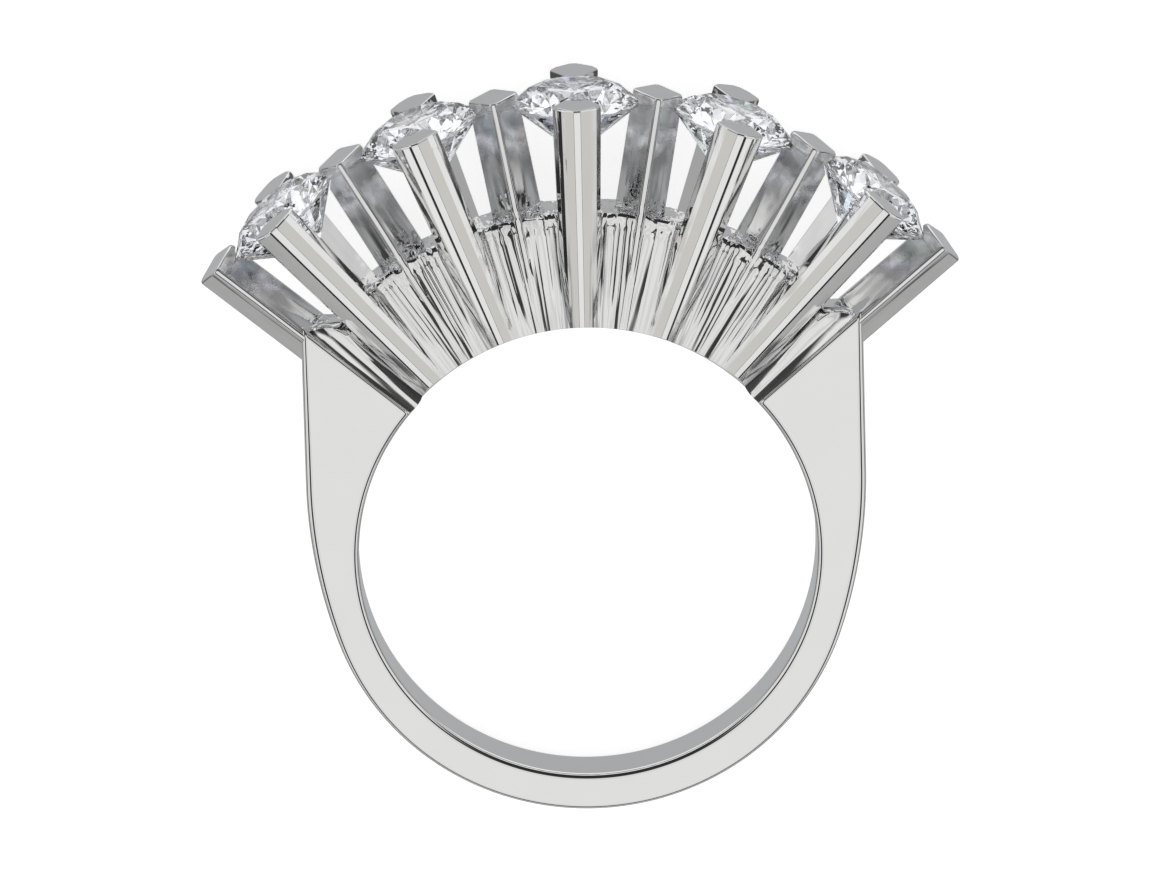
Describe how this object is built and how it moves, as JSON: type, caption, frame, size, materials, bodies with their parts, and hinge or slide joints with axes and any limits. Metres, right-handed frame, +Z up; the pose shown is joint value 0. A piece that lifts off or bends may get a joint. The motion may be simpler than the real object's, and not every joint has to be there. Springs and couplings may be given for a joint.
{
  "type": "five-stone fan ring",
  "caption": "Flat-faced polished ring whose fan of upright square bars holds a curved row of round brilliant stones.",
  "frame": {"origin": "centre of the finger hole, on its axis and halfway through the band's depth", "axes": "the ring lies on its side: +Y runs from the finger hole towards the fan of bars, +X to the right of someone who looks down on the front face, +Z up; the ring's own axis leans back from +Z by the 5.5 degrees at which it rests on its back prong tips and the foot of its band"},
  "size_m": [0.0284, 0.0281, 0.0074],
  "materials": {
    "white_gold": "mirror polished white gold",
    "diamond": "clear, polished facets"
  },
  "bodies": {
    "root": {"ring_body": "white_gold", "stone_1": "diamond", "stone_2": "diamond", "stone_3": "diamond", "stone_4": "diamond", "stone_5": "diamond"}
  },
  "joints": []
}
